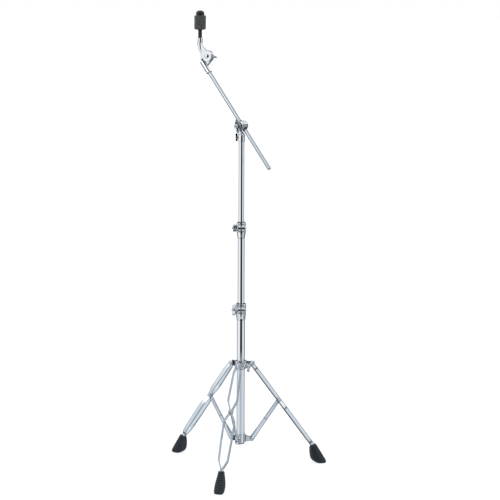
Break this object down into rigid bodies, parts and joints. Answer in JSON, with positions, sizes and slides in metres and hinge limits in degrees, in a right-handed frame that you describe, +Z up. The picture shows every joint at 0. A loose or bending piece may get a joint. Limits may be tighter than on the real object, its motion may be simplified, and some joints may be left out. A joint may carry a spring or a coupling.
{
  "type": "cymbal boom stand",
  "caption": "Free-standing tripod stand with telescoping column, tilting boom rod and a felt-padded tilting seat for a cymbal.",
  "frame": {"origin": "on the floor, on the axis of the column", "axes": "+Z up along the column, -Y towards the front leg's side, the boom leans up towards -X and +Y"},
  "size_m": [0.5671, 0.5147, 1.6108],
  "materials": {
    "rubber": "moulded black rubber with cross ribs",
    "felt": "dense charcoal wool felt",
    "nylon": "black nylon",
    "black_plastic": "black moulded nylon",
    "steel": "zinc-plated steel",
    "rivet_steel": "nickel-plated rivet",
    "chrome_tube": "polished chrome plate",
    "chrome_strip": "chrome plate on pressed steel",
    "chrome_cast": "chrome plate on die casting"
  },
  "bodies": {
    "column": {"base_tube": "chrome_tube", "base_tube_plug": "nylon", "base_clamp": "chrome_cast", "base_clamp_bolt": "chrome_cast", "lower_collar": "chrome_cast", "lower_collar_pins": "rivet_steel"},
    "base_wing": {"base_clamp_wing_nut": "chrome_cast"},
    "base_bush": {"base_bush": "nylon"},
    "middle_tube": {"middle_tube": "chrome_tube", "middle_tube_guide": "nylon", "middle_clamp": "chrome_cast", "middle_clamp_bolt": "chrome_cast"},
    "middle_wing": {"middle_clamp_wing_nut": "chrome_cast"},
    "middle_bush": {"middle_bush": "nylon"},
    "upper_tube": {"upper_tube": "chrome_tube", "upper_tube_guide": "nylon", "boom_tilter_base": "chrome_cast", "tilter_base_screw": "chrome_cast"},
    "boom_drum": {"boom_tilter_drum": "chrome_cast", "boom_tilter_cap": "chrome_cast", "boom_eye_bolt": "steel"},
    "boom_wing": {"boom_wing_nut": "chrome_cast"},
    "rod_sleeve": {"boom_rod_sleeve": "nylon"},
    "boom_rod": {"boom_rod": "chrome_tube", "boom_rod_end_cap": "chrome_tube", "cymbal_tilter_socket": "chrome_cast", "cymbal_tilter_bolt": "chrome_cast"},
    "tilter_wing": {"cymbal_tilter_wing_nut": "chrome_cast"},
    "cymbal_arm": {"cymbal_tilter_arm": "chrome_cast", "cymbal_post": "steel", "cymbal_sleeve": "black_plastic", "cymbal_seat_washer": "chrome_cast", "lower_felt": "felt"},
    "upper_felt": {"upper_felt": "felt"},
    "cymbal_nut": {"cymbal_nut": "black_plastic"},
    "leg_collar": {"leg_collar": "chrome_cast", "leg_collar_liner": "nylon", "leg_collar_pins": "rivet_steel"},
    "leg_wing": {"leg_collar_wing_bolt": "chrome_cast"},
    "right_leg": {"right_leg_front_strip": "chrome_strip", "right_leg_back_strip": "chrome_strip", "right_leg_rivets": "rivet_steel", "right_rubber_foot": "rubber"},
    "right_brace": {"right_brace_front_strip": "chrome_strip", "right_brace_back_strip": "chrome_strip", "right_brace_rivet": "rivet_steel"},
    "left_leg": {"left_leg_back_strip": "chrome_strip", "left_leg_front_strip": "chrome_strip", "left_leg_rivets": "rivet_steel", "left_rubber_foot": "rubber"},
    "left_brace": {"left_brace_back_strip": "chrome_strip", "left_brace_front_strip": "chrome_strip", "left_brace_rivet": "rivet_steel"},
    "front_leg": {"front_leg_left_strip": "chrome_strip", "front_leg_right_strip": "chrome_strip", "front_leg_rivets": "rivet_steel", "front_rubber_foot": "rubber"},
    "front_brace": {"front_brace_left_strip": "chrome_strip", "front_brace_right_strip": "chrome_strip", "front_brace_rivet": "rivet_steel"}
  },
  "joints": [
    {"name": "tripod_fold", "type": "hinge", "parent": "column", "child": "right_brace", "pos_m": [0.03913, 0.00832, 0.0992], "axis": [0.2079, -0.9781, 0], "range_deg": [-8, 31]},
    {"name": "right_leg_fold", "type": "hinge", "parent": "right_brace", "child": "right_leg", "pos_m": [0.13548, 0.0288, 0.23232], "axis": [0.2079, -0.9781, 0], "range_deg": [-62, 16]},
    {"name": "leg_collar_fold", "type": "hinge", "parent": "right_leg", "child": "leg_collar", "pos_m": [0.03913, 0.00832, 0.36544], "axis": [0.2079, -0.9781, 0], "range_deg": [-8, 31]},
    {"name": "left_leg_fold", "type": "hinge", "parent": "leg_collar", "child": "left_leg", "pos_m": [-0.03152, 0.02463, 0.36544], "axis": [0.6157, 0.788, 0], "range_deg": [-31, 8]},
    {"name": "left_brace_fold", "type": "hinge", "parent": "column", "child": "left_brace", "pos_m": [-0.03152, 0.02463, 0.0992], "axis": [0.6157, 0.788, 0], "range_deg": [-8, 31]},
    {"name": "front_leg_fold", "type": "hinge", "parent": "leg_collar", "child": "front_leg", "pos_m": [-0.00968, -0.03881, 0.36544], "axis": [-0.9703, 0.2419, 0], "range_deg": [-31, 8]},
    {"name": "front_brace_fold", "type": "hinge", "parent": "column", "child": "front_brace", "pos_m": [-0.00968, -0.03881, 0.0992], "axis": [-0.9703, 0.2419, 0], "range_deg": [-8, 31]},
    {"name": "leg_wing_bolt_turn", "type": "hinge", "parent": "leg_collar", "child": "leg_wing", "pos_m": [0.02289, -0.02135, 0.36444], "axis": [0.7314, -0.682, 0], "continuous": true},
    {"name": "middle_tube_swivel", "type": "hinge", "parent": "column", "child": "base_bush", "pos_m": [0, 0, 0.56], "axis": [0, 0, 1], "continuous": true},
    {"name": "middle_tube_height", "type": "slide", "parent": "base_bush", "child": "middle_tube", "axis": [0, 0, 1], "range_m": [-0.222, 0.07]},
    {"name": "base_wing_nut_turn", "type": "hinge", "parent": "column", "child": "base_wing", "pos_m": [-0.0108, -0.026, 0.561], "axis": [-1, 0, 0], "continuous": true},
    {"name": "upper_tube_swivel", "type": "hinge", "parent": "middle_tube", "child": "middle_bush", "pos_m": [0, 0, 0.85], "axis": [0, 0, 1], "continuous": true},
    {"name": "upper_tube_height", "type": "slide", "parent": "middle_bush", "child": "upper_tube", "axis": [0, 0, 1], "range_m": [-0.265, 0.05]},
    {"name": "middle_wing_nut_turn", "type": "hinge", "parent": "middle_tube", "child": "middle_wing", "pos_m": [-0.0108, -0.0235, 0.848], "axis": [-1, 0, 0], "continuous": true},
    {"name": "boom_tilt", "type": "hinge", "parent": "upper_tube", "child": "boom_drum", "pos_m": [0, 0, 1.2063], "axis": [-0.5736, -0.8192, 0], "range_deg": [0, 75]},
    {"name": "boom_wing_nut_turn", "type": "hinge", "parent": "boom_drum", "child": "boom_wing", "pos_m": [-0.01044, -0.01491, 1.2063], "axis": [-0.5736, -0.8192, 0], "continuous": true},
    {"name": "boom_rod_turn", "type": "hinge", "parent": "boom_drum", "child": "rod_sleeve", "pos_m": [0.00258, 0.00369, 1.2063], "axis": [-0.5099, 0.3571, 0.7826], "continuous": true},
    {"name": "boom_rod_reach", "type": "slide", "parent": "rod_sleeve", "child": "boom_rod", "axis": [-0.5099, 0.3571, 0.7826], "range_m": [-0.2, 0.172]},
    {"name": "cymbal_tilt", "type": "hinge", "parent": "boom_rod", "child": "cymbal_arm", "pos_m": [-0.1232, 0.08626, 1.44726], "axis": [-0.5736, -0.8192, 0], "range_deg": [-100, 5]},
    {"name": "tilter_wing_nut_turn", "type": "hinge", "parent": "boom_rod", "child": "tilter_wing", "pos_m": [-0.11488, 0.09814, 1.44726], "axis": [0.5736, 0.8192, 0], "continuous": true},
    {"name": "upper_felt_lift", "type": "slide", "parent": "cymbal_arm", "child": "upper_felt", "axis": [0, 0, 1], "range_m": [0, 0.012]},
    {"name": "cymbal_nut_turn", "type": "hinge", "parent": "upper_felt", "child": "cymbal_nut", "pos_m": [-0.15076, 0.11106, 1.6], "axis": [0, 0, 1], "continuous": true}
  ],
  "couplings": [
    {"joint": "right_leg_fold", "follows": "tripod_fold", "ratio": -2},
    {"joint": "leg_collar_fold", "follows": "tripod_fold", "ratio": 1},
    {"joint": "left_leg_fold", "follows": "tripod_fold", "ratio": -1},
    {"joint": "left_brace_fold", "follows": "tripod_fold", "ratio": 1},
    {"joint": "front_leg_fold", "follows": "tripod_fold", "ratio": -1},
    {"joint": "front_brace_fold", "follows": "tripod_fold", "ratio": 1}
  ]
}
